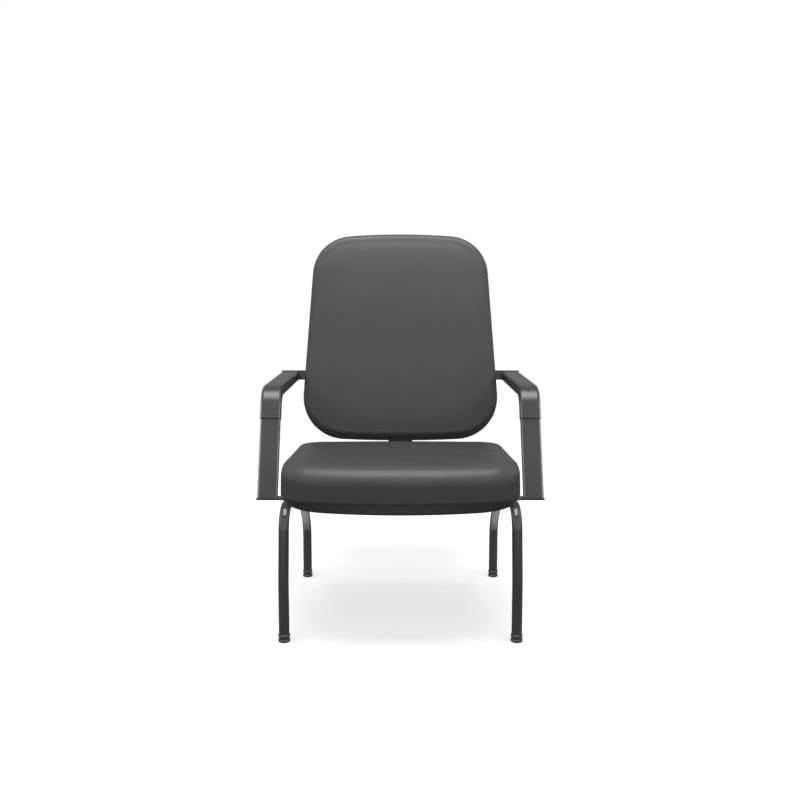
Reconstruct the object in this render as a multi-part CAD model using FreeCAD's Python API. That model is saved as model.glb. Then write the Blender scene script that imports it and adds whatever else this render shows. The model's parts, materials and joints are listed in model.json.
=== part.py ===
# Wide four-leg office chair with arms: every piece is its own solid.
# Millimetres, +Z up, the chair faces -Y; left and right are as seen from the front.
import FreeCAD, Part
import math
import os

from FreeCAD import Vector

# Side frames: one bent tube each, front leg, rail and rear leg
tube_diameter = 26.9
tube_wall = 2.25
frame_spacing = 600.0
foot_spacing = 515.0
rail_height = 339.0
front_knee_height = 158.0
front_lean = 8.2
rear_knee_height = 175.0
rear_lean = 45.0
knee_bend = 110.0
rail_bend = 60.0

# Levelling feet and leg end caps
pad_diameter = 30.8
pad_height = 9.0
pad_rim_round = 3.2
neck_diameter = 22.0
neck_height = 3.0
collar_diameter = 30.8
collar_height = 8.5
collar_round = 2.8
plug_length = 26.0
bush_diameter = 13.0
bush_length = 20.0
stem_diameter = 7.9
stem_hold = 19.0
stem_seat_height = 3.0
foot_thread_bore = 8.0
foot_travel = 10.0
stop_gap = 0.1
press_clearance = 0.05

# Cross bars under the seat, and their welds
bar_thickness = 5.0
bar_width = 30.0
front_bar_end = 0.5
front_bar_y = 93.0
rear_bar_y = 300.0
rear_bar_overhang = 8.0
weld_leg = 5.0
weld_root = 4.0
weld_end_gap = 1.5

# Seat: plan outline, board, shell and cushion
seat_width = 606.0
seat_front_y = -114.0
seat_depth = 530.0
seat_front_corner = 100.0
seat_base_corner = 150.0
seat_rear_corner = 72.0
seat_front_bow = 1000.0
seat_base_bow = 816.0
seat_rear_bow = 3000.0
seat_board_thickness = 18.0
seat_boss_height = 4.5
seat_cushion_height = 78.5
seat_tilt = 1.5
seat_shoulder = 36.0
seat_side_roll = 22.0
seat_front_roll = 50.0
seat_rear_roll = 30.0
seat_side_fullness = 3.0
seat_front_fullness = 2.0
seat_rear_fullness = 4.0
seat_crown = 3.0
seat_crown_run = 100.0

# Back: plan outline on its slope, board, shell and cushion
back_recline = 10.0
back_foot_y = 491.9
back_foot_z = 448.06
back_length = 652.0
back_low_width = 626.0
back_high_width = 538.0
back_low_corner = 131.0
back_high_corner = 126.0
back_low_bow = 4000.0
back_high_bow = 2070.0
back_board_thickness = 12.0
back_hollow = 12.0
back_cushion_height = 60.0
back_shoulder = 30.0
back_side_roll = 14.0
back_low_roll = 18.0
back_high_roll = 13.0
back_side_fullness = 2.0
back_low_fullness = 1.4
back_high_fullness = 2.0
back_crown = 6.0
back_crown_run = 130.0

# Cushions: how far the cover is drawn in at its seam
seam_draw = 2.5
seam_swell = 8.0
least_corner = 45.0
swell_steps = 4
shoulder_steps = 7
crown_steps = 8

# Plastic shells under the seat and behind the back
shell_wall = 3.0
shell_setback = 3.0
shell_edge_round = 6.0
shell_draft = 1.0
board_gap = 0.5
cushion_gap = 0.2

# Blade that joins seat and back
blade_width = 76.2
blade_thickness = 6.35
blade_front_y = 65.0
blade_bend = 43.0
blade_rise = 270.0
blade_slot_gap = 0.6

# Arms: rectangular tube, sleeve, plugs and the tie bar behind the back
arm_width = 54.0
arm_depth = 25.0
arm_wall = 2.0
arm_corner = 9.0
arm_gap = 13.0
post_lean = 19.7
arm_rise = 2.7
arm_corner_y = 187.7
arm_corner_z = 627.9
arm_bend = 55.0
sleeve_side = 1.3
sleeve_top = 5.0
sleeve_under = 2.0
sleeve_corner = 10.0
sleeve_reach_down = 75.0
sleeve_rear_gap = 5.0
plug_depth = 30.0
end_plug_depth = 22.0
tie_bar_height = 30.0
tie_bar_thickness = 5.0
tie_bar_rise = 210.0
tie_bar_end = 1.0
tie_bar_round = 6.0

# Fasteners
bolt_diameter = 8.0
bolt_hole = 8.8
bolt_head_flats = 13.0
bolt_head_height = 5.3
countersink_diameter = 16.0
countersink_depth = 4.0
washer_diameter = 16.0
washer_thickness = 1.6
tee_flange_diameter = 22.0
tee_flange_thickness = 1.5
tee_barrel_diameter = 10.5
tee_barrel_length = 10.0
bolt_tip_gap = 1.0
button_head_diameter = 14.0
button_head_height = 4.2
spacer_diameter = 16.0
boss_diameter = 32.0
screw_diameter = 4.0
screw_head_diameter = 8.0
screw_head_height = 2.6
screw_bite = 9.0
screw_boss_diameter = 12.0
screw_hole = 4.4

# Bolt and screw places: X halves and rises; screws by inset from the side and share of the depth or length
blade_bolt_x = 22.0
seat_bolt_x = 200.0
blade_bolt_rises = (110.0, 230.0)
tie_bolt_x = (140.0, 230.0)
seat_screw_rows = ((130.0, 0.13), (45.0, 0.58), (90.0, 0.91))
back_screw_rows = ((99.0, 0.09), (31.0, 0.49), (73.0, 0.91))

# Worked-out levels
tube_radius = tube_diameter / 2
tube_bore_radius = tube_radius - tube_wall
collar_base = pad_height + neck_height
tube_base = collar_base + collar_height
stem_length = collar_base - stem_seat_height + foot_travel + stem_hold
bar_base = rail_height + tube_radius
bar_top = bar_base + bar_thickness
seat_board_base = bar_top + shell_wall + seat_boss_height
seat_board_top = seat_board_base + seat_board_thickness
shell_inset = shell_setback + shell_draft
board_inset = shell_inset + shell_wall + board_gap + shell_edge_round / 2
back_shell_depth = back_board_thickness + back_hollow + shell_wall
blade_base = bar_base - blade_thickness
arm_spacing = max(seat_width, back_low_width) + 2 * arm_gap + arm_width
front_bar_length = arm_spacing + arm_width + 2 * front_bar_end
tiny = 0.01
far_out = 2000.0


def cylinder(radius, start, direction, length):
    return Part.makeCylinder(radius, length, start, direction)


def straight_box(low, high):
    size = high - low
    return Part.makeBox(size.x, size.y, size.z, low)


def hexagon_prism(flats, start, height):
    points = []
    for step in range(7):
        angle = math.radians(60 * step)
        reach = flats / 2 / math.cos(math.radians(30))
        points.append(start + Vector(math.cos(angle), math.sin(angle), 0) * reach)
    return Part.Face(Part.makePolygon(points)).extrude(Vector(0, 0, height))


def drilled(shape, centres, direction, radius, length):
    for centre in centres:
        shape = shape.cut(cylinder(radius, centre, direction, length))
    return shape


def ring(outer, inner, start, height):
    up = Vector(0, 0, 1)
    return cylinder(outer, start, up, height).cut(cylinder(inner, start, up, height))


def bent_path(points, radii):
    # Straight runs joined by an arc tangent to both at each inner corner
    edges = []
    start = points[0]
    for before, corner, after, radius in zip(points, points[1:], points[2:], radii):
        arriving = (corner - before).normalize()
        leaving = (after - corner).normalize()
        half_turn = arriving.getAngle(leaving) / 2
        run = radius * math.tan(half_turn)
        first = corner - arriving * run
        last = corner + leaving * run
        middle = corner + (leaving - arriving).normalize() * (radius / math.cos(half_turn) - radius)
        edges.append(Part.LineSegment(start, first).toShape())
        edges.append(Part.Arc(first, middle, last).toShape())
        start = last
    edges.append(Part.LineSegment(start, points[-1]).toShape())
    return Part.Wire(edges)


def swept(path, profile):
    return path.makePipeShell([profile], True, False)


def round_profile(centre, normal, radius):
    return Part.Wire([Part.Circle(centre, normal, radius).toShape()])


def rounded_rectangle(centre, across, along, width, depth, corner):
    # Closed wire in the plane of the two unit directions
    reach_x = width / 2
    reach_y = depth / 2
    slack = corner * (1 - math.sqrt(0.5))
    signs = ((1, 1), (-1, 1), (-1, -1), (1, -1))

    def place(x, y):
        return centre + across * x + along * y

    corners = []
    for sign_x, sign_y in signs:
        on_side = place(sign_x * reach_x, sign_y * (reach_y - corner))
        on_end = place(sign_x * (reach_x - corner), sign_y * reach_y)
        middle = place(sign_x * (reach_x - slack), sign_y * (reach_y - slack))
        first, last = (on_side, on_end) if sign_x == sign_y else (on_end, on_side)
        corners.append((first, middle, last))
    edges = []
    for index, (first, middle, last) in enumerate(corners):
        following = corners[(index + 1) % len(corners)][0]
        edges.append(Part.Arc(first, middle, last).toShape())
        edges.append(Part.LineSegment(last, following).toShape())
    return Part.Wire(edges)


class Plan:
    """A plan with straight sides, bowed ends and round corners; near is the low-Y end."""

    def __init__(self, near, far, near_half, far_half, near_corner, far_corner, near_bow, far_bow):
        self.near = near
        self.far = far
        self.near_half = near_half
        self.far_half = far_half
        self.near_corner = near_corner
        self.far_corner = far_corner
        self.near_bow = near_bow
        self.far_bow = far_bow

    def corner_points(self, end, side, inset):
        # Tangent points and middle of the corner arc at +X, for one end (-1 near, +1 far)
        lean = math.atan2(self.far_half - self.near_half, self.far - self.near)
        along = Vector(math.sin(lean), math.cos(lean), 0)
        outward = Vector(math.cos(lean), -math.sin(lean), 0)
        radius = (self.near_corner if end < 0 else self.far_corner) - min(side, inset)
        radius = max(radius, least_corner)
        bow = (self.near_bow if end < 0 else self.far_bow) - inset
        edge = (self.near if end < 0 else self.far) - end * inset
        bow_centre = Vector(0, edge - end * bow, 0)
        base = Vector(self.near_half, self.near, 0) - outward * (side + radius)
        offset = base - bow_centre
        half = offset.dot(along)
        reach = math.sqrt(half ** 2 - offset.dot(offset) + (bow - radius) ** 2)
        centre = base + along * (end * reach - half)
        towards_bow = (centre - bow_centre).normalize()
        on_side = centre + outward * radius
        on_bow = centre + towards_bow * radius
        middle = centre + (outward + towards_bow).normalize() * radius
        return on_side, middle, on_bow, Vector(0, edge, 0)

    def wire(self, level, side=0.0, near=0.0, far=0.0):
        near_side, near_middle, near_bow, near_mid = self.corner_points(-1, side, near)
        far_side, far_middle, far_bow, far_mid = self.corner_points(1, side, far)

        def mirrored(point):
            return Vector(-point.x, point.y, 0)

        edges = [
            Part.Arc(mirrored(near_bow), near_mid, near_bow),
            Part.Arc(near_bow, near_middle, near_side),
            Part.LineSegment(near_side, far_side),
            Part.Arc(far_side, far_middle, far_bow),
            Part.Arc(far_bow, far_mid, mirrored(far_bow)),
            Part.Arc(mirrored(far_bow), mirrored(far_middle), mirrored(far_side)),
            Part.LineSegment(mirrored(far_side), mirrored(near_side)),
            Part.Arc(mirrored(near_side), mirrored(near_middle), mirrored(near_bow)),
        ]
        wire = Part.Wire([edge.toShape() for edge in edges])
        wire.translate(Vector(0, 0, level))
        return wire

    def even(self, level, inset):
        return self.wire(level, inset, inset, inset)

    def slab(self, low, high, inset):
        return Part.Face(self.even(low, inset)).extrude(Vector(0, 0, high - low))

    def loft(self, levels, tilt=0.0):
        # Each level leans by its share of the tilt, about its far end, so that the near end rises
        base = levels[0][0]
        height = levels[-1][0] - base
        wires = []
        for level, *insets in levels:
            wire = self.wire(level, *insets)
            lean = tilt * (level - base) / height
            wire.rotate(Vector(0, self.far, level), Vector(1, 0, 0), -lean)
            wires.append(wire)
        return Part.makeLoft(wires, True, True)


def shoulder_inset(roll, fullness, rise):
    # Quarter of a superellipse: no inset at rise 0, the whole roll at rise 1
    return roll * (1 - (1 - rise ** fullness) ** (1 / fullness))


def cushion_levels(base, height, shoulder, rolls, fullness, crown, crown_run):
    # Level and insets (sides, near, far): swell above the seam, shoulder, then crown
    levels = []
    for step in range(swell_steps + 1):
        angle = math.pi / 2 * (1 - step / swell_steps)
        inset = seam_draw * (1 - math.cos(angle))
        levels.append((base + seam_swell * (1 - math.sin(angle)), inset, inset, inset))
    crown_base = base + height - crown
    for step in range(shoulder_steps + 1):
        rise = math.sin(math.pi / 2 * step / shoulder_steps)
        insets = [shoulder_inset(roll, power, rise) for roll, power in zip(rolls, fullness)]
        levels.append((crown_base - shoulder * (1 - rise), *insets))
    for step in range(1, crown_steps + 1):
        share = step / crown_steps
        rise = crown * math.sin(math.pi / 2 * share)
        levels.append((crown_base + rise, *(roll + crown_run * share for roll in rolls)))
    return levels


def dish(low_plan, high_plan, base, top):
    # Plastic shell with a rounded lower edge, open at the top, from its base plan to its rim plan
    outer = [(low_plan, base, shell_inset + shell_edge_round),
             (low_plan, base + shell_edge_round / 3, shell_inset + shell_edge_round / 3),
             (low_plan, base + shell_edge_round, shell_inset),
             (high_plan, top, shell_setback)]
    inner = [(low_plan, base + shell_wall, shell_inset + shell_edge_round + shell_wall),
             (low_plan, base + shell_edge_round, shell_inset + shell_wall),
             (high_plan, top, shell_setback + shell_wall),
             (high_plan, top + shell_wall, shell_setback + shell_wall)]

    def ruled(levels):
        return Part.makeLoft([plan.even(level, inset) for plan, level, inset in levels], True, True)

    return ruled(outer).cut(ruled(inner))


def tee_nut(place):
    # Flange flush with the face at the given place, barrel below it
    up = Vector(0, 0, 1)
    flange_base = place - up * tee_flange_thickness
    flange = cylinder(tee_flange_diameter / 2, flange_base, up, tee_flange_thickness)
    barrel = cylinder(tee_barrel_diameter / 2, flange_base - up * tee_barrel_length, up, tee_barrel_length)
    nut = flange.fuse(barrel).removeSplitter()
    depth = tee_flange_thickness + tee_barrel_length
    return nut.cut(cylinder(bolt_diameter / 2, place - up * depth, up, depth))


def tee_nut_pocket(place, thickness):
    # Room for a tee nut and its bolt in a board whose top face is at the given place
    up = Vector(0, 0, 1)
    flange_base = place - up * tee_flange_thickness
    flange = cylinder(tee_flange_diameter / 2, flange_base, up, tee_flange_thickness)
    barrel_base = flange_base - up * tee_barrel_length
    barrel = cylinder(tee_barrel_diameter / 2, barrel_base, up, tee_barrel_length)
    through = cylinder(bolt_hole / 2, place - up * thickness, up, thickness)
    return flange.fuse([barrel, through])


def hex_bolt(head_top, length):
    # Head below the given place, shank above it
    up = Vector(0, 0, 1)
    head = hexagon_prism(bolt_head_flats, head_top - up * bolt_head_height, bolt_head_height)
    return head.fuse(cylinder(bolt_diameter / 2, head_top, up, length)).removeSplitter()


def button_bolt(head_top, length):
    up = Vector(0, 0, 1)
    head = cylinder(button_head_diameter / 2, head_top - up * button_head_height, up, button_head_height)
    lower_rim = [edge for edge in head.Edges if edge.BoundBox.ZMax < head_top.z - button_head_height + tiny]
    head = head.makeFillet(button_head_height / 2, lower_rim)
    return head.fuse(cylinder(bolt_diameter / 2, head_top, up, length)).removeSplitter()


def small_screw(head_top, length):
    up = Vector(0, 0, 1)
    head = cylinder(screw_head_diameter / 2, head_top - up * screw_head_height, up, screw_head_height)
    return head.fuse(cylinder(screw_diameter / 2, head_top, up, length)).removeSplitter()


def washer(base):
    return ring(washer_diameter / 2, bolt_hole / 2, base, washer_thickness)


def screw_places(plan, rows):
    # X and Y on both sides, in from the straight sides of the plan
    places = []
    for inset, share in rows:
        half = plan.near_half + (plan.far_half - plan.near_half) * share
        y = plan.near + (plan.far - plan.near) * share
        places += [(side * (half - inset), y) for side in (-1, 1)]
    return places


def seat_screw_places():
    return screw_places(seat_plan(), seat_screw_rows)


def back_screw_places():
    return screw_places(back_plan(), back_screw_rows)


def set_on_back(shape):
    # From the flat back (X across, Y up the slope, Z towards the sitter) to its place on the chair
    placed = shape.copy()
    placed.rotate(Vector(), Vector(1, 0, 0), 90 - back_recline)
    placed.translate(Vector(0, back_foot_y, back_foot_z))
    return placed


def behind_back(depth):
    # Everything on the rear side of a plane parallel to the back
    low = Vector(-far_out, -far_out, -far_out)
    return set_on_back(straight_box(low, Vector(far_out, far_out, -depth)))


def side_frame(side):
    x = side * frame_spacing / 2
    rise = rail_height - front_knee_height
    front_corner = rise * math.tan(math.radians(front_lean))
    rear_corner = foot_spacing - (rail_height - rear_knee_height) * math.tan(math.radians(rear_lean))
    points = [Vector(x, 0, tube_base), Vector(x, 0, front_knee_height), Vector(x, front_corner, rail_height),
              Vector(x, rear_corner, rail_height), Vector(x, foot_spacing, rear_knee_height),
              Vector(x, foot_spacing, tube_base)]
    path = bent_path(points, [knee_bend, rail_bend, rail_bend, knee_bend])
    up = Vector(0, 0, 1)
    outside = swept(path, round_profile(points[0], up, tube_radius))
    inside = swept(path, round_profile(points[0], up, tube_bore_radius))
    return outside.cut(inside)


def foot_places():
    for end, y in (("front", 0.0), ("rear", foot_spacing)):
        for name, side in (("left", -1), ("right", 1)):
            yield end + "_" + name, Vector(side * frame_spacing / 2, y, 0)


def end_cap(place):
    up = Vector(0, 0, 1)
    base = place + up * collar_base
    collar = cylinder(collar_diameter / 2, base, up, collar_height)
    collar = collar.makeFillet(collar_round, [edge for edge in collar.Edges if len(edge.Vertexes) == 1])
    plug = cylinder(tube_bore_radius - press_clearance, base + up * collar_height, up, plug_length)
    cap = collar.fuse(plug).removeSplitter()
    cap = cap.cut(cylinder(bush_diameter / 2, base, up, bush_length))
    return cap.cut(cylinder(foot_thread_bore / 2, base, up, collar_height + plug_length))


def foot_bush(place):
    return ring(bush_diameter / 2, foot_thread_bore / 2, place + Vector(0, 0, collar_base), bush_length)


def foot_pad(place):
    up = Vector(0, 0, 1)
    disc = cylinder(pad_diameter / 2, place, up, pad_height)
    disc = disc.makeFillet(pad_rim_round, [edge for edge in disc.Edges if len(edge.Vertexes) == 1])
    neck = cylinder(neck_diameter / 2, place + up * pad_height, up, neck_height - stop_gap)
    pad = disc.fuse(neck).removeSplitter()
    return pad.cut(cylinder(stem_diameter / 2, place + up * stem_seat_height, up, collar_base))


def foot_stem(place):
    up = Vector(0, 0, 1)
    return cylinder(stem_diameter / 2, place + up * stem_seat_height, up, stem_length)


def seat_bolt_places():
    # X, Y and whether the blade is clamped there too
    for y in (front_bar_y, rear_bar_y):
        for side in (-1, 1):
            yield side * blade_bolt_x, y, True
            yield side * seat_bolt_x, y, False


def cross_bar(length, centre_y, bolt_xs):
    low = Vector(-length / 2, centre_y - bar_width / 2, bar_base)
    high = Vector(length / 2, centre_y + bar_width / 2, bar_top)
    centres = [Vector(x, centre_y, bar_base) for x in bolt_xs]
    return drilled(straight_box(low, high), centres, Vector(0, 0, 1), bolt_hole / 2, bar_thickness)


def frame_welds():
    # Fillet beads in the corners between the rails and the undersides of the cross bars
    beads = []
    half = bar_width / 2 - weld_end_gap
    for x in (-frame_spacing / 2, frame_spacing / 2):
        for y in (front_bar_y, rear_bar_y):
            rail_start = Vector(x, y - bar_width, rail_height)
            rail = cylinder(tube_radius, rail_start, Vector(0, 1, 0), 2 * bar_width)
            for flank in (-1, 1):
                inner = x + flank * weld_root
                outer = x + flank * (weld_root + weld_leg)
                low = Vector(min(inner, outer), y - half, bar_base - weld_leg)
                high = Vector(max(inner, outer), y + half, bar_base)
                beads.append(straight_box(low, high).cut(rail))
    return Part.makeCompound(beads)


def seat_outline(front_corner, front_bow):
    half = seat_width / 2
    return Plan(seat_front_y, seat_front_y + seat_depth, half, half, front_corner, seat_rear_corner,
                front_bow, seat_rear_bow)


def seat_plan():
    return seat_outline(seat_front_corner, seat_front_bow)


def seat_base_plan():
    return seat_outline(seat_base_corner, seat_base_bow)


def seat_shell():
    shell = dish(seat_base_plan(), seat_plan(), bar_top, seat_board_top - cushion_gap)
    up = Vector(0, 0, 1)
    floor = bar_top + shell_wall
    height = seat_boss_height
    bolts = [Vector(x, y, floor) for x, y, clamped in seat_bolt_places()]
    screws = [Vector(x, y, floor) for x, y in seat_screw_places()]
    bosses = [cylinder(boss_diameter / 2, place, up, height) for place in bolts]
    bosses += [cylinder(screw_boss_diameter / 2, place, up, height) for place in screws]
    shell = shell.fuse(bosses).removeSplitter()
    below = up * shell_wall
    depth = shell_wall + height
    shell = drilled(shell, [place - below for place in bolts], up, bolt_hole / 2, depth)
    return drilled(shell, [place - below for place in screws], up, screw_hole / 2, depth)


def seat_board():
    board = seat_base_plan().slab(seat_board_base, seat_board_top, board_inset)
    pockets = [tee_nut_pocket(Vector(x, y, seat_board_top), seat_board_thickness)
               for x, y, clamped in seat_bolt_places()]
    board = board.cut(pockets)
    screws = [Vector(x, y, seat_board_base) for x, y in seat_screw_places()]
    return drilled(board, screws, Vector(0, 0, 1), screw_diameter / 2, screw_bite)


def seat_cushion():
    # Drawn in at the seam, rolled over the front, crowned on top and higher at the front
    rolls = (seat_side_roll, seat_front_roll, seat_rear_roll)
    fullness = (seat_side_fullness, seat_front_fullness, seat_rear_fullness)
    levels = cushion_levels(seat_board_top, seat_cushion_height, seat_shoulder, rolls, fullness,
                            seat_crown, seat_crown_run)
    return seat_plan().loft(levels, seat_tilt)


def seat_tee_nuts():
    return Part.makeCompound([tee_nut(Vector(x, y, seat_board_top)) for x, y, clamped in seat_bolt_places()])


def seat_bolt_base(clamped):
    return blade_base if clamped else bar_base


def seat_bolts():
    bolts = []
    for x, y, clamped in seat_bolt_places():
        head_top = seat_bolt_base(clamped) - washer_thickness
        bolts.append(hex_bolt(Vector(x, y, head_top), seat_board_top - bolt_tip_gap - head_top))
    return Part.makeCompound(bolts)


def seat_washers():
    return Part.makeCompound([washer(Vector(x, y, seat_bolt_base(clamped) - washer_thickness))
                              for x, y, clamped in seat_bolt_places()])


def seat_shell_screws():
    length = shell_wall + seat_boss_height + screw_bite
    return Part.makeCompound([small_screw(Vector(x, y, bar_top), length)
                              for x, y in seat_screw_places()])


def back_plan():
    return Plan(0.0, back_length, back_low_width / 2, back_high_width / 2, back_low_corner, back_high_corner,
                back_low_bow, back_high_bow)


def blade_bolt_places():
    return [(side * blade_bolt_x, rise) for rise in blade_bolt_rises for side in (-1, 1)]


def tie_bolt_places():
    return [(side * x, tie_bar_rise) for x in tie_bolt_x for side in (-1, 1)]


def back_shell():
    base = -back_shell_depth
    shell = dish(back_plan(), back_plan(), base, -cushion_gap)
    up = Vector(0, 0, 1)
    screws = [Vector(x, y, base + shell_wall) for x, y in back_screw_places()]
    bosses = [cylinder(screw_boss_diameter / 2, place, up, back_hollow) for place in screws]
    shell = shell.fuse(bosses).removeSplitter()
    shell = drilled(shell, [place - up * shell_wall for place in screws], up, screw_hole / 2,
                    shell_wall + back_hollow)
    ties = [Vector(x, y, base) for x, y in tie_bolt_places()]
    shell = drilled(shell, ties, up, bolt_hole / 2, shell_wall)
    half = blade_width / 2 + blade_slot_gap
    front = -back_board_thickness + blade_slot_gap
    slot_low = Vector(-half, -far_out, front - blade_thickness - 2 * blade_slot_gap)
    slot_high = Vector(half, board_inset, front)
    return set_on_back(shell.cut(straight_box(slot_low, slot_high)))


def back_board():
    board = back_plan().slab(-back_board_thickness, 0.0, board_inset)
    places = blade_bolt_places() + tie_bolt_places()
    board = board.cut([tee_nut_pocket(Vector(x, y, 0), back_board_thickness) for x, y in places])
    screws = [Vector(x, y, -back_board_thickness) for x, y in back_screw_places()]
    return set_on_back(drilled(board, screws, Vector(0, 0, 1), screw_diameter / 2, screw_bite))


def back_cushion():
    # Drawn in at the seam, a round shoulder all round and a crowned face
    rolls = (back_side_roll, back_low_roll, back_high_roll)
    fullness = (back_side_fullness, back_low_fullness, back_high_fullness)
    levels = cushion_levels(0.0, back_cushion_height, back_shoulder, rolls, fullness, back_crown, back_crown_run)
    return set_on_back(back_plan().loft(levels))


def back_tee_nuts():
    places = blade_bolt_places() + tie_bolt_places()
    return set_on_back(Part.makeCompound([tee_nut(Vector(x, y, 0)) for x, y in places]))


def back_blade():
    # Flat under the cross bars, then bent up behind the back board
    middle_z = blade_base + blade_thickness / 2
    depth = back_board_thickness + blade_thickness / 2
    recline = math.radians(back_recline)
    slope = Vector(0, math.sin(recline), math.cos(recline))
    rear_face = Vector(0, back_foot_y + depth * math.cos(recline), back_foot_z - depth * math.sin(recline))
    corner = rear_face - slope * ((rear_face.z - middle_z) / slope.z)
    start = Vector(0, blade_front_y, middle_z)
    path = bent_path([start, corner, rear_face + slope * blade_rise], [blade_bend])
    profile = Part.makePolygon([start + Vector(x * blade_width / 2, 0, z * blade_thickness / 2)
                                for x, z in ((1, 1), (-1, 1), (-1, -1), (1, -1), (1, 1))])
    blade = swept(path, profile)
    up = Vector(0, 0, 1)
    seats = [Vector(x, y, blade_base) for x, y, clamped in seat_bolt_places() if clamped]
    blade = drilled(blade, seats, up, bolt_hole / 2, blade_thickness)
    rear_level = -back_board_thickness - blade_thickness
    holes = [cylinder(bolt_hole / 2, Vector(x, y, rear_level), up, blade_thickness)
             for x, y in blade_bolt_places()]
    return blade.cut([set_on_back(hole) for hole in holes])


def blade_bolts():
    head_top = -back_board_thickness - blade_thickness
    bolts = [button_bolt(Vector(x, y, head_top), -head_top - bolt_tip_gap) for x, y in blade_bolt_places()]
    return set_on_back(Part.makeCompound(bolts))


def back_shell_screws():
    length = shell_wall + back_hollow + screw_bite
    screws = [small_screw(Vector(x, y, -back_shell_depth), length) for x, y in back_screw_places()]
    return set_on_back(Part.makeCompound(screws))


def arm_directions():
    lean = math.radians(post_lean)
    rise = math.radians(arm_rise)
    post = Vector(0, math.sin(lean), math.cos(lean))
    top = Vector(0, math.cos(rise), math.sin(rise))
    return post, top


def arm_sweep(side, down, rear, width, depth, corner, shift):
    # Along the arm: from a length down the post to a length behind the corner
    post, top = arm_directions()
    turn = Vector(side * arm_spacing / 2, arm_corner_y, arm_corner_z)
    start = turn - post * down
    path = bent_path([start, turn, turn + top * rear], [arm_bend])
    across = Vector(1, 0, 0)
    forward = across.cross(post)
    profile = rounded_rectangle(start + forward * shift, across, forward, width, depth, corner)
    return swept(path, profile)


def below_bar_top():
    return straight_box(Vector(-far_out, -far_out, -far_out), Vector(far_out, far_out, bar_top))


def trimmed_arm(shape):
    return shape.cut(below_bar_top()).cut(behind_back(back_shell_depth))


def arm_post_reach():
    # Post length that surely passes below the cross bar
    post = arm_directions()[0]
    return (arm_corner_z - bar_top) / post.z + arm_depth


def arm_top_reach():
    # Arm length that surely passes the plane of the tie bar
    recline = math.radians(back_recline)
    plane_y = back_foot_y + back_shell_depth + tie_bar_rise * math.sin(recline)
    return plane_y - arm_corner_y + 2 * arm_depth


def arm_core(side, shrink):
    width = arm_width - 2 * shrink
    depth = arm_depth - 2 * shrink
    return arm_sweep(side, arm_post_reach(), arm_top_reach(), width, depth, arm_corner - shrink, 0.0)


def arm_tube(side):
    return trimmed_arm(arm_core(side, 0.0).cut(arm_core(side, arm_wall)))


def arm_sleeve(side):
    width = arm_width + 2 * sleeve_side
    depth = arm_depth + sleeve_top + sleeve_under
    shift = (sleeve_top - sleeve_under) / 2
    outer = arm_sweep(side, sleeve_reach_down, arm_top_reach(), width, depth, sleeve_corner, shift)
    outer = outer.cut(behind_back(back_shell_depth - sleeve_rear_gap))
    return outer.cut(arm_core(side, 0.0))


def post_bolt_y():
    # Where the post's centre line meets the top of the cross bar, a little up inside the plug
    post = arm_directions()[0]
    climb = arm_corner_z - bar_top - plug_depth / 2
    return arm_corner_y - climb * post.y / post.z


def post_plug(side):
    inside = arm_core(side, arm_wall)
    keep = straight_box(Vector(-far_out, -far_out, bar_top), Vector(far_out, far_out, bar_top + plug_depth))
    hole = cylinder(bolt_diameter / 2, Vector(side * arm_spacing / 2, post_bolt_y(), bar_top),
                    Vector(0, 0, 1), plug_depth)
    return inside.common(keep).cut(hole)


def arm_end_rise():
    # Rise along the back where the arm's centre line meets the tie bar
    recline = math.radians(back_recline)
    slope = Vector(0, math.sin(recline), math.cos(recline))
    facing = Vector(0, -math.cos(recline), math.sin(recline))
    top = arm_directions()[1]
    corner = Vector(0, arm_corner_y - back_foot_y, arm_corner_z - back_foot_z)
    length = (-back_shell_depth - corner.dot(facing)) / top.dot(facing)
    return (corner + top * length).dot(slope)


def arm_end_places():
    return [(side * arm_spacing / 2, arm_end_rise()) for side in (-1, 1)]


def end_plug(side):
    inside = arm_core(side, arm_wall)
    base = -back_shell_depth
    low = Vector(-far_out, -far_out, base)
    high = Vector(far_out, far_out, base + end_plug_depth)
    slice_of_arm = inside.common(set_on_back(straight_box(low, high)))
    start = Vector(side * arm_spacing / 2, arm_end_rise(), base)
    return slice_of_arm.cut(set_on_back(cylinder(bolt_diameter / 2, start, Vector(0, 0, 1), end_plug_depth)))


def post_bolt_places():
    return [Vector(side * arm_spacing / 2, post_bolt_y(), bar_base) for side in (-1, 1)]


def countersink(place):
    up = Vector(0, 0, 1)
    return Part.makeCone(countersink_diameter / 2, bolt_diameter / 2, countersink_depth, place, up)


def arm_post_screws():
    # Countersunk from below, flush with the underside of the cross bar
    length = bar_thickness + plug_depth - bolt_tip_gap
    up = Vector(0, 0, 1)
    screws = [countersink(place).fuse(cylinder(bolt_diameter / 2, place, up, length)).removeSplitter()
              for place in post_bolt_places()]
    return Part.makeCompound(screws)


def front_cross_bar():
    bolt_xs = [x for x, y, clamped in seat_bolt_places() if y == front_bar_y]
    bar = cross_bar(front_bar_length, front_bar_y, bolt_xs)
    bar = drilled(bar, post_bolt_places(), Vector(0, 0, 1), bolt_hole / 2, bar_thickness)
    return bar.cut([countersink(place) for place in post_bolt_places()])


def rear_cross_bar():
    bolt_xs = [x for x, y, clamped in seat_bolt_places() if y == rear_bar_y]
    return cross_bar(frame_spacing + tube_diameter + 2 * rear_bar_overhang, rear_bar_y, bolt_xs)


def tie_places():
    return tie_bolt_places() + arm_end_places()


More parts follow.
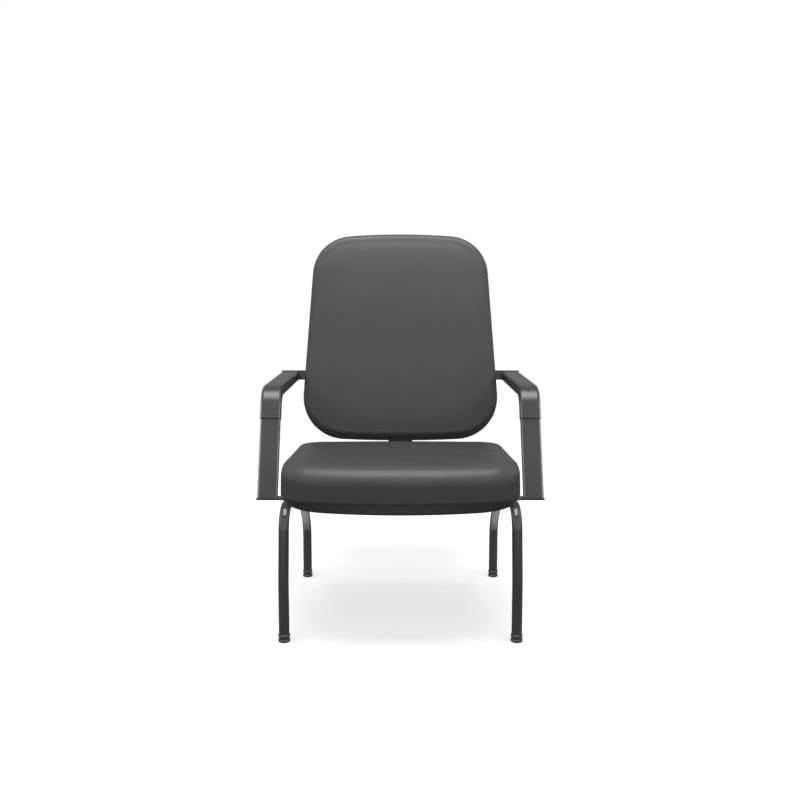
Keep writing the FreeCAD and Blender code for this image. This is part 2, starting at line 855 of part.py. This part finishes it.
def arm_tie_bar():
    half = (arm_spacing + arm_width) / 2 + tie_bar_end
    front = -back_shell_depth
    low = Vector(-half, tie_bar_rise - tie_bar_height / 2, front - tie_bar_thickness)
    high = Vector(half, tie_bar_rise + tie_bar_height / 2, front)
    bar = straight_box(low, high)
    ends = [edge for edge in bar.Edges if abs(edge.Length - tie_bar_thickness) < tiny]
    bar = bar.makeFillet(tie_bar_round, ends)
    centres = [Vector(x, y, low.z) for x, y in tie_places()]
    return set_on_back(drilled(bar, centres, Vector(0, 0, 1), bolt_hole / 2, tie_bar_thickness))


def tie_bar_base():
    return -back_shell_depth - tie_bar_thickness


def tie_bar_bolts():
    head_top = tie_bar_base() - washer_thickness
    bolts = [hex_bolt(Vector(x, y, head_top), -bolt_tip_gap - head_top) for x, y in tie_bolt_places()]
    return set_on_back(Part.makeCompound(bolts))


def tie_bar_washers():
    base = tie_bar_base() - washer_thickness
    return set_on_back(Part.makeCompound([washer(Vector(x, y, base)) for x, y in tie_places()]))


def tie_bar_spacers():
    base = -back_board_thickness - back_hollow
    spacers = [ring(spacer_diameter / 2, bolt_hole / 2, Vector(x, y, base), back_hollow)
               for x, y in tie_bolt_places()]
    return set_on_back(Part.makeCompound(spacers))


def arm_end_bolts():
    head_top = tie_bar_base() - washer_thickness
    length = -back_shell_depth + end_plug_depth - bolt_tip_gap - head_top
    bolts = [hex_bolt(Vector(x, y, head_top), length) for x, y in arm_end_places()]
    return set_on_back(Part.makeCompound(bolts))


def build():
    pieces = {
        "front_cross_bar": front_cross_bar(),
        "rear_cross_bar": rear_cross_bar(),
        "frame_welds": frame_welds(),
        "seat_shell": seat_shell(),
        "seat_board": seat_board(),
        "seat_cushion": seat_cushion(),
        "seat_tee_nuts": seat_tee_nuts(),
        "seat_bolts": seat_bolts(),
        "seat_washers": seat_washers(),
        "seat_shell_screws": seat_shell_screws(),
        "back_shell": back_shell(),
        "back_board": back_board(),
        "back_cushion": back_cushion(),
        "back_tee_nuts": back_tee_nuts(),
        "back_blade": back_blade(),
        "blade_bolts": blade_bolts(),
        "back_shell_screws": back_shell_screws(),
        "arm_post_screws": arm_post_screws(),
        "arm_tie_bar": arm_tie_bar(),
        "tie_bar_bolts": tie_bar_bolts(),
        "tie_bar_washers": tie_bar_washers(),
        "tie_bar_spacers": tie_bar_spacers(),
        "arm_end_bolts": arm_end_bolts(),
    }
    for name, side in (("left", -1), ("right", 1)):
        pieces[name + "_side_frame"] = side_frame(side)
        pieces[name + "_arm_tube"] = arm_tube(side)
        pieces[name + "_arm_sleeve"] = arm_sleeve(side)
        pieces[name + "_post_plug"] = post_plug(side)
        pieces[name + "_arm_end_plug"] = end_plug(side)
    for name, place in foot_places():
        pieces[name + "_end_cap"] = end_cap(place)
        pieces[name + "_foot_bush"] = foot_bush(place)
        pieces[name + "_foot_pad"] = foot_pad(place)
        pieces[name + "_foot_stem"] = foot_stem(place)
    return pieces


def centred(pieces):
    # The origin is on the floor, midway between the foremost and rearmost points
    boxes = [shape.optimalBoundingBox(False, False) for shape in pieces.values()]
    middle = (min(box.YMin for box in boxes) + max(box.YMax for box in boxes)) / 2
    for shape in pieces.values():
        shape.translate(Vector(0, -middle, 0))
    return middle


def main():
    pieces = build()
    middle = centred(pieces)
    os.makedirs("parts", exist_ok=True)
    for name, shape in pieces.items():
        shape.exportStep(os.path.join("parts", name + ".step"))
    print("front feet at Y", round(-middle, 3))
    print("pieces", len(pieces))


main()
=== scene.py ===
import json
import math

import bpy
import numpy as np
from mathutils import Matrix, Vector


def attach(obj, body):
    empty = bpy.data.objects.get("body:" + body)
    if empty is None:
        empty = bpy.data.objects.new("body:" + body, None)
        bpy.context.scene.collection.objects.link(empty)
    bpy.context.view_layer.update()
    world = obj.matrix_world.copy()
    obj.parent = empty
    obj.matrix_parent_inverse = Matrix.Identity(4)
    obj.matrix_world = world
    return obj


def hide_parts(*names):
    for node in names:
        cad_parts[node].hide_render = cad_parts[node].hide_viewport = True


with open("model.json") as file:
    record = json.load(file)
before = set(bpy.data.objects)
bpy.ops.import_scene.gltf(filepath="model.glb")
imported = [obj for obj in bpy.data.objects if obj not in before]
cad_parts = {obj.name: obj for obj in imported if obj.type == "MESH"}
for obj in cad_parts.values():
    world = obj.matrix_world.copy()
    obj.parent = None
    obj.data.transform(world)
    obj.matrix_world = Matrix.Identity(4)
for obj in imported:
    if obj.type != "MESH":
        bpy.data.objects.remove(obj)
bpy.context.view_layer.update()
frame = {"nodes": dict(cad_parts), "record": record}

# Camera, as the photograph was taken
CAMERA_PLACE = (-0.0012, -2.19356, 0.8243)
CAMERA_PITCH = 5.843
CAMERA_LENS = 35.0
CAMERA_SENSOR = 36.0

# Sky: brightness by the sine of the elevation, the share left behind the chair, and what the camera sees
SKY_STOPS = ((-1.0, 0.14), (-0.2, 0.28), (-0.04, 0.3), (0.04, 0.76), (0.34, 1.03), (0.6, 1.03), (0.95, 0.5))
SKY_BEHIND = 0.36
SKY_SHOWN = 1.0
WHITE = (1.0, 1.0, 1.0, 1.0)

# Soft boxes: power in watts, spread of the beam in degrees
OVERHEAD_BOX = {
    "place": (0.0, -0.5, 2.5),
    "target": (0.0, -0.3, 0.5),
    "width": 2.2,
    "height": 1.2,
    "power": 45.0,
}
SIDE_BOX_PLACE = (2.2, -0.3, 0.75)
SIDE_BOX = {
    "target": (0.0, -0.3, 0.75),
    "width": 3.4,
    "height": 0.9,
    "power": 42.0,
}
FLOOR_GLOW = {
    "place": (0.0, 0.315, 0.02),
    "target": (0.0, 0.315, 1.0),
    "width": 1.1,
    "height": 0.37,
    "power": 0.9,
    "spread": 130.0,
}
REAR_BOX = {
    "place": (0.0, 2.2, 1.9),
    "target": (0.0, 0.3, 0.75),
    "width": 2.4,
    "height": 1.4,
    "power": 60.0,
}
OPEN_SPREAD = 180.0

# Solids that the floor glow, the side boxes and the rear box light, by the ends of their names
TUBES = ("left_side_frame", "right_side_frame")
SIDE_LIT = ("arm_tube", "arm_sleeve")
REAR_LIT = ("back_shell", "back_shell_screws", "tie_bar", "tie_bar_bolts", "tie_bar_washers", "arm_end_bolts",
            "back_blade", "rear_cross_bar")

# Solids and covers that reflections leave out
UNMIRRORED = ("seat_shell", "seat_board", "front_cross_bar", "rear_cross_bar", "back_blade")
UNMIRRORED_COVERS = ("seat_cover",)

# Floor: side, paint and its mottle, and a glow of its own towards the photograph's white
FLOOR_SIZE = 60.0
FLOOR_TONE = 0.8
FLOOR_MOTTLE = 0.01
FLOOR_ROUGHNESS = 0.9
FLOOR_LIFT = 0.45

# Shading: the part of a noise that is used, and rays for a softened edge
NOISE_LOW = 0.3
NOISE_HIGH = 0.7
BEVEL_SAMPLES = 4
COAT_ROUGHNESS = 0.05

# Seam planes of the cushions: a point on each, and the way it faces
SEAT_FOOT = Vector((0.0, 0.0, 0.38295))
SEAT_FACING = Vector((0.0, 0.0, 1.0))
BACK_RECLINE = math.radians(10.0)
BACK_FOOT = Vector((0.0, 0.233913, 0.44806))
BACK_FACING = Vector((0.0, -math.cos(BACK_RECLINE), math.sin(BACK_RECLINE)))

# Cushion mesh: remesh cell, subdivision, and heights over the seam for its held part, edge and free part
VOXEL = 0.005
FINER_LEVELS = 1
HELD_HEIGHT = 0.007
EDGE_HEIGHT = 2 * HELD_HEIGHT
FREE_HEIGHT = 3 * HELD_HEIGHT

# Cloth: how far it is drawn in first, its air and fabric, and the most that a point may move
SHRINK = 0.0015
CLOTH_PRESSURE = 4.0
CLOTH_FRAMES = 20
CLOTH_STIFFNESS = 18.0
CLOTH_BENDING = 20.0
CLOTH_MASS = 0.35
SWELL_CAP = 0.0018
SHORTEST_MOVE = 1e-9

# Fairing: each smoothing step's share, how often, and how far the fair cover stands out
EASE_STEP = (0.5,)
EASE_ROUNDS = 60
FAIR_STEPS = (0.5, -0.53)
FAIR_ROUNDS = 90
FULLNESS = 0.0012

# Seam edge: how far it goes out, smoothing rounds, and the leans between which a face belongs to it
SEAM_FILL = 0.004
SEAM_ROUNDS = 25
SEAM_EASE = 6
EDGE_LEAN = (0.1, 0.5)
UNDERSIDE_LEAN = (-1.0, -0.8)


def link(obj):
    bpy.context.scene.collection.objects.link(obj)
    return obj


# Shader building

class Nodes:
    """A node tree with short calls to add nodes and join them."""

    def __init__(self, tree):
        self.tree = tree

    def node(self, kind, **settings):
        made = self.tree.nodes.new(kind)
        for key, value in settings.items():
            setattr(made, key, value)
        return made

    def join(self, output, node, socket):
        self.tree.links.new(output, node.inputs[socket])

    def span(self, value, low, high, from_low, from_high):
        made = self.node("ShaderNodeMapRange")
        made.inputs["From Min"].default_value = from_low
        made.inputs["From Max"].default_value = from_high
        made.inputs["To Min"].default_value = low
        made.inputs["To Max"].default_value = high
        self.join(value, made, "Value")
        return made.outputs["Result"]


class Shader(Nodes):
    """A material's nodes, with the patterns that its looks are made of."""

    def __init__(self, name):
        self.material = bpy.data.materials.new(name)
        self.material.use_nodes = True
        super().__init__(self.material.node_tree)
        self.surface = self.tree.nodes["Principled BSDF"]
        self.place = self.node("ShaderNodeTexCoord").outputs["Object"]

    def set(self, socket, value):
        self.surface.inputs[socket].default_value = value

    def noise(self, scale, detail=3.0, roughness=0.5, stretch=(1.0, 1.0, 1.0)):
        mapping = self.node("ShaderNodeMapping")
        mapping.inputs["Scale"].default_value = stretch
        self.join(self.place, mapping, "Vector")
        made = self.node("ShaderNodeTexNoise")
        made.inputs["Scale"].default_value = scale
        made.inputs["Detail"].default_value = detail
        made.inputs["Roughness"].default_value = roughness
        self.join(mapping.outputs[0], made, "Vector")
        return made.outputs["Fac"]

    def cells(self, scale):
        made = self.node("ShaderNodeTexVoronoi", feature="SMOOTH_F1")
        made.inputs["Scale"].default_value = scale
        self.join(self.place, made, "Vector")
        return made.outputs["Distance"]

    def spread(self, noise, low, high):
        return self.span(noise, low, high, NOISE_LOW, NOISE_HIGH)

    def add(self, first, second, weight):
        made = self.node("ShaderNodeMath", operation="MULTIPLY_ADD")
        made.inputs[1].default_value = weight
        self.join(second, made, 0)
        self.join(first, made, 2)
        return made.outputs[0]

    def colour(self, share, first, second):
        made = self.node("ShaderNodeMix", data_type="RGBA")
        made.inputs["A"].default_value = (*first, 1.0)
        made.inputs["B"].default_value = (*second, 1.0)
        self.join(share, made, "Factor")
        self.join(made.outputs["Result"], self.surface, "Base Color")

    def mottle(self, noise, first, second):
        self.colour(self.spread(noise, 0.0, 1.0), first, second)

    def roughness(self, noise, low, high):
        self.join(self.spread(noise, low, high), self.surface, "Roughness")

    def bump(self, height, distance, strength, edge=0.0):
        made = self.node("ShaderNodeBump")
        made.inputs["Distance"].default_value = distance
        made.inputs["Strength"].default_value = strength
        self.join(height, made, "Height")
        if edge:
            bevel = self.node("ShaderNodeBevel", samples=BEVEL_SAMPLES)
            bevel.inputs["Radius"].default_value = edge
            self.join(bevel.outputs["Normal"], made, "Normal")
        self.join(made.outputs["Normal"], self.surface, "Normal")


def grey(level):
    return (level, level, level)


def tones(level, drift):
    # A darker and a lighter grey around a level
    return grey(level * (1 - drift)), grey(level * (1 + drift))


def vinyl():
    # Smooth upholstery vinyl: fine pebbled grain, faint clouding
    shader = Shader("vinyl_cover")
    shader.mottle(shader.noise(scale=7.0, detail=4.0), grey(0.035), grey(0.039))
    shader.roughness(shader.noise(scale=23.0, detail=5.0), low=0.41, high=0.48)
    pebbles = shader.cells(scale=620.0)
    pores = shader.noise(scale=1500.0, detail=2.0)
    shader.bump(shader.add(pebbles, pores, weight=0.35), distance=0.00022, strength=0.5)
    shader.set("Specular IOR Level", 0.6)
    return shader.material


def moulded(name, level, low, high, grain, edge=0.0008, shine=0.5):
    # Moulded plastic with a fine spark-eroded texture
    shader = Shader(name)
    shader.mottle(shader.noise(scale=5.0), *tones(level, drift=0.07))
    shader.roughness(shader.noise(scale=60.0, detail=4.0), low, high)
    shader.bump(shader.noise(grain), distance=0.00012, strength=0.5, edge=edge)
    shader.set("Specular IOR Level", shine)
    return shader.material


def painted(name, level, low, high, peel, depth, coat=0.0):
    # Paint over steel: orange-peel skin, faint handling marks in the gloss
    shader = Shader(name)
    shader.mottle(shader.noise(scale=12.0), *tones(level, drift=0.1))
    shader.roughness(shader.noise(scale=38.0, detail=6.0, roughness=0.62), low, high)
    shader.bump(shader.noise(peel, detail=2.0), distance=depth, strength=0.6, edge=0.0006)
    shader.set("Coat Weight", coat)
    shader.set("Coat Roughness", COAT_ROUGHNESS)
    return shader.material


def plated():
    # Zinc plate: bright grey metal with a faint yellow-blue cloud and fine turning lines
    shader = Shader("zinc_plate")
    bluish = (0.50, 0.51, 0.53)
    yellowish = (0.60, 0.59, 0.55)
    shader.mottle(shader.noise(scale=90.0), bluish, yellowish)
    shader.roughness(shader.noise(scale=240.0, detail=4.0), low=0.28, high=0.42)
    turning = shader.noise(scale=900.0, stretch=(1.0, 1.0, 4.0))
    shader.bump(turning, distance=0.00005, strength=0.6, edge=0.0003)
    shader.set("Metallic", 1.0)
    return shader.material


def ply():
    # Birch plywood: long pale figure and darker pores
    shader = Shader("plywood_board")
    dark = (0.42, 0.27, 0.14)
    pale = (0.62, 0.45, 0.27)
    figure = shader.noise(scale=26.0, detail=5.0, stretch=(1.0, 9.0, 9.0))
    shader.mottle(figure, dark, pale)
    shader.roughness(figure, low=0.55, high=0.7)
    pores = shader.noise(scale=300.0, stretch=(1.0, 12.0, 12.0))
    shader.bump(pores, distance=0.0002, strength=0.5)
    return shader.material


def materials():
    return {
        "vinyl": vinyl(),
        "shell_plastic": moulded("shell_plastic_skin", level=0.034, low=0.46, high=0.56, grain=1100.0),
        "plywood": ply(),
        "gloss_black": painted("gloss_black_enamel", level=0.035, low=0.12, high=0.18, peel=420.0,
                               depth=0.00004, coat=0.8),
        "satin_black": painted("satin_black_powder", level=0.034, low=0.24, high=0.27, peel=900.0,
                               depth=0.00003),
        "arm_sleeve": moulded("arm_sleeve_skin", level=0.018, low=0.28, high=0.32, grain=1000.0,
                              edge=0.0015, shine=0.75),
        "foot_plastic": moulded("foot_plastic_skin", level=0.060, low=0.16, high=0.22, grain=700.0,
                                edge=0.0004, shine=0.8),
        "zinc": plated(),
    }


def dress_cad(skins):
    # Every solid that stays gets its slot's material
    for part in frame["record"]["subparts"]:
        for slot in frame["nodes"][part["node"]].material_slots:
            slot.material = skins[part["material_slot"]]
    for node in UNMIRRORED:
        frame["nodes"][node].visible_glossy = False


# Cushions

def evaluated_mesh(obj):
    depsgraph = bpy.context.evaluated_depsgraph_get()
    return bpy.data.meshes.new_from_object(obj.evaluated_get(depsgraph))


def points_of(mesh):
    points = np.zeros(len(mesh.vertices) * 3)
    mesh.vertices.foreach_get("co", points)
    return points.reshape(-1, 3)


def normals_of(mesh):
    normals = np.zeros(len(mesh.vertices) * 3)
    mesh.vertex_normals.foreach_get("vector", normals)
    return normals.reshape(-1, 3)


def put_points(mesh, points):
    mesh.vertices.foreach_set("co", points.ravel())
    mesh.update()


def remeshed(node, name):
    piece = link(bpy.data.objects.new(name, frame["nodes"][node].data.copy()))
    remesh = piece.modifiers.new("remesh", "REMESH")
    remesh.mode = "VOXEL"
    remesh.voxel_size = VOXEL
    piece.data = evaluated_mesh(piece)
    piece.modifiers.clear()
    return piece


def lift_over(points, foot, facing):
    # Height of each point over the seam plane
    return (points - np.array(foot)) @ np.array(facing)


def smooth_step(values, low, high):
    share = np.clip((values - low) / (high - low), 0, 1)
    return share * share * (3 - 2 * share)


def free_share(height):
    return smooth_step(height, HELD_HEIGHT, FREE_HEIGHT)


def drawn_in(piece, height):
    # Starts smaller than the finished cushion, so that it can swell
    points = points_of(piece.data)
    put_points(piece.data, points - normals_of(piece.data) * (SHRINK * free_share(height))[:, None])


def add_cloth(piece, held):
    # Air pressure fills the cover out, while its seam and underside are held
    group = piece.vertex_groups.new(name="held")
    group.add([int(index) for index in np.nonzero(held)[0]], 1.0, "REPLACE")
    cloth = piece.modifiers.new("cover", "CLOTH")
    settings = cloth.settings
    settings.vertex_group_mass = "held"
    settings.use_pressure = True
    settings.uniform_pressure_force = CLOTH_PRESSURE
    settings.effector_weights.gravity = 0.0
    settings.tension_stiffness = CLOTH_STIFFNESS
    settings.compression_stiffness = CLOTH_STIFFNESS
    settings.bending_stiffness = CLOTH_BENDING
    settings.mass = CLOTH_MASS
    cloth.collision_settings.use_collision = False
    cloth.point_cache.frame_end = CLOTH_FRAMES


def simulated(piece, held):
    add_cloth(piece, held)
    scene = bpy.context.scene
    for step in range(1, CLOTH_FRAMES + 1):
        scene.frame_set(step)
    swollen = evaluated_mesh(piece)
    piece.modifiers.clear()
    piece.vertex_groups.clear()
    scene.frame_set(1)
    return points_of(swollen)


def capped(moves, most):
    length = np.linalg.norm(moves, axis=1)
    return moves * np.minimum(1.0, most / np.maximum(length, SHORTEST_MOVE))[:, None]


def evened(mesh, values, steps):
    # Each point's value goes towards the mean of its neighbours' by each step's share
    ends = np.zeros(len(mesh.edges) * 2, dtype=np.int32)
    mesh.edges.foreach_get("vertices", ends)
    here = np.concatenate((ends[0::2], ends[1::2]))
    there = np.concatenate((ends[1::2], ends[0::2]))
    count = np.bincount(here, minlength=len(values))
    for share in steps:
        around = [np.bincount(here, values[there, axis], len(values)) / count for axis in range(3)]
        values = values + (np.stack(around, axis=1) - values) * share
    return values


def seam_filled(mesh, height, facing):
    # The lower edge, left rounded and uneven by the remesh, is made even and goes back out to close the seam
    low = smooth_step(-height, -FREE_HEIGHT, -EDGE_HEIGHT)
    points = points_of(mesh)
    fair = evened(mesh, points, FAIR_STEPS * SEAM_ROUNDS)
    put_points(mesh, points + (fair - points) * low[:, None])
    normals = normals_of(mesh)
    lean = normals @ np.array(facing)
    edge = smooth_step(-lean, *EDGE_LEAN) * smooth_step(lean, *UNDERSIDE_LEAN) * (height < HELD_HEIGHT)
    moves = evened(mesh, normals * (SEAM_FILL * edge)[:, None], EASE_STEP * SEAM_EASE)
    put_points(mesh, points_of(mesh) + moves)


def filled_out(mesh, points, free):
    # A tight, full cover: fair surface, a little further out, with the seam left as it is
    fair = evened(mesh, points, FAIR_STEPS * FAIR_ROUNDS)
    put_points(mesh, points + (fair - points) * free[:, None])
    put_points(mesh, points_of(mesh) + normals_of(mesh) * (FULLNESS * free)[:, None])


def cushion(node, name, foot, facing):
    piece = remeshed(node, name)
    solid = points_of(piece.data)
    height = lift_over(solid, foot, facing)
    drawn_in(piece, height)
    moves = capped(simulated(piece, height < HELD_HEIGHT) - solid, SWELL_CAP)
    moves = evened(piece.data, moves, EASE_STEP * EASE_ROUNDS)
    filled_out(piece.data, solid + moves, free_share(height))
    seam_filled(piece.data, height, facing)
    finer = piece.modifiers.new("finer", "SUBSURF")
    finer.levels = FINER_LEVELS
    finer.render_levels = FINER_LEVELS
    piece.data.polygons.foreach_set("use_smooth", [True] * len(piece.data.polygons))
    return piece


def add_cushions(skins):
    covers = (("seat_cushion", "seat_cover", SEAT_FOOT, SEAT_FACING),
              ("back_cushion", "back_cover", BACK_FOOT, BACK_FACING))
    for node, name, foot, facing in covers:
        piece = cushion(node, name, foot, facing)
        piece.data.materials.clear()
        piece.data.materials.append(skins["vinyl"])
        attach(piece, "chair")
        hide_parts(node)
        piece.visible_glossy = name not in UNMIRRORED_COVERS


# Stage

def sky_ramp(sky, up, top):
    # Brightness by height, as a share of the brightest
    ramp = sky.node("ShaderNodeValToRGB")
    elements = ramp.color_ramp.elements
    while len(elements) < len(SKY_STOPS):
        elements.new(0.5)
    for element, (height, level) in zip(elements, SKY_STOPS):
        element.position = (height + 1) / 2
        element.color = (*grey(level / top), 1.0)
    sky.join(sky.span(up, 0.0, 1.0, from_low=-1.0, from_high=1.0), ramp, "Fac")
    return ramp.outputs["Color"]


def add_sky():
    # The chair is lit by the ramp, dimmer from behind; the camera sees plain white
    world = bpy.data.worlds.new("studio")
    bpy.context.scene.world = world
    world.use_nodes = True
    sky = Nodes(world.node_tree)
    sky.tree.nodes.clear()
    top = max(level for height, level in SKY_STOPS)
    way = sky.node("ShaderNodeSeparateXYZ")
    sky.join(sky.node("ShaderNodeTexCoord").outputs["Generated"], way, 0)
    light = sky.node("ShaderNodeBackground")
    sky.join(sky_ramp(sky, way.outputs["Z"], top), light, "Color")
    strength = sky.span(way.outputs["Y"], top, top * SKY_BEHIND, from_low=0.0, from_high=1.0)
    sky.join(strength, light, "Strength")
    shown = sky.node("ShaderNodeBackground")
    shown.inputs["Strength"].default_value = SKY_SHOWN
    shown.inputs["Color"].default_value = WHITE
    mix = sky.node("ShaderNodeMixShader")
    sky.join(sky.node("ShaderNodeLightPath").outputs["Is Camera Ray"], mix, "Fac")
    sky.join(light.outputs[0], mix, 1)
    sky.join(shown.outputs[0], mix, 2)
    sky.join(mix.outputs[0], sky.node("ShaderNodeOutputWorld"), "Surface")


def add_soft_box(name, place, target, width, height, power, spread=OPEN_SPREAD):
    data = bpy.data.lights.new(name, "AREA")
    data.shape = "RECTANGLE"
    data.size = width
    data.size_y = height
    data.energy = power
    data.spread = math.radians(spread)
    box = link(bpy.data.objects.new(name, data))
    box.location = place
    box.rotation_euler = (Vector(target) - Vector(place)).to_track_quat("-Z", "Y").to_euler()
    box.visible_camera = False
    return box


def lit_group(name, endings):
    # The solids a light falls on, by the ends of their names
    group = bpy.data.collections.new(name)
    for node, solid in frame["nodes"].items():
        if node.endswith(endings):
            group.objects.link(solid)
    return group


def add_soft_boxes():
    add_soft_box("overhead_box", **OVERHEAD_BOX)
    glow = add_soft_box("floor_glow", **FLOOR_GLOW)
    glow.light_linking.receiver_collection = lit_group("lit_by_floor", TUBES)
    rear = add_soft_box("rear_box", **REAR_BOX)
    rear.light_linking.receiver_collection = lit_group("lit_from_rear", REAR_LIT)
    arms = lit_group("lit_from_sides", SIDE_LIT)
    across, along, up = SIDE_BOX_PLACE
    for side, name in ((-1, "left_box"), (1, "right_box")):
        box = add_soft_box(name, (side * across, along, up), **SIDE_BOX)
        box.light_linking.receiver_collection = arms


def floor_paint():
    shader = Shader("floor_paint")
    shader.colour(shader.noise(scale=3.0), *tones(FLOOR_TONE, FLOOR_MOTTLE))
    shader.set("Roughness", FLOOR_ROUGHNESS)
    shader.set("Specular IOR Level", 0.0)
    shader.set("Emission Color", WHITE)
    shader.set("Emission Strength", FLOOR_LIFT)
    return shader.material


def add_floor():
    half = FLOOR_SIZE / 2
    mesh = bpy.data.meshes.new("floor")
    corners = [(-half, -half, 0.0), (half, -half, 0.0), (half, half, 0.0), (-half, half, 0.0)]
    mesh.from_pydata(corners, [], [(0, 1, 2, 3)])
    floor = link(bpy.data.objects.new("floor", mesh))
    mesh.materials.append(floor_paint())
    floor.visible_diffuse = False
    floor.visible_glossy = False


def add_camera():
    data = bpy.data.cameras.new("photo_camera")
    data.lens = CAMERA_LENS
    data.sensor_width = CAMERA_SENSOR
    camera = link(bpy.data.objects.new("photo_camera", data))
    camera.location = CAMERA_PLACE
    camera.rotation_euler = (math.radians(90.0 - CAMERA_PITCH), 0.0, 0.0)
    bpy.context.scene.camera = camera


def set_view():
    view = bpy.context.scene.view_settings
    view.view_transform = "Standard"
    view.look = "None"


skins = materials()
dress_cad(skins)
add_cushions(skins)
add_sky()
add_soft_boxes()
add_floor()
add_camera()
set_view()
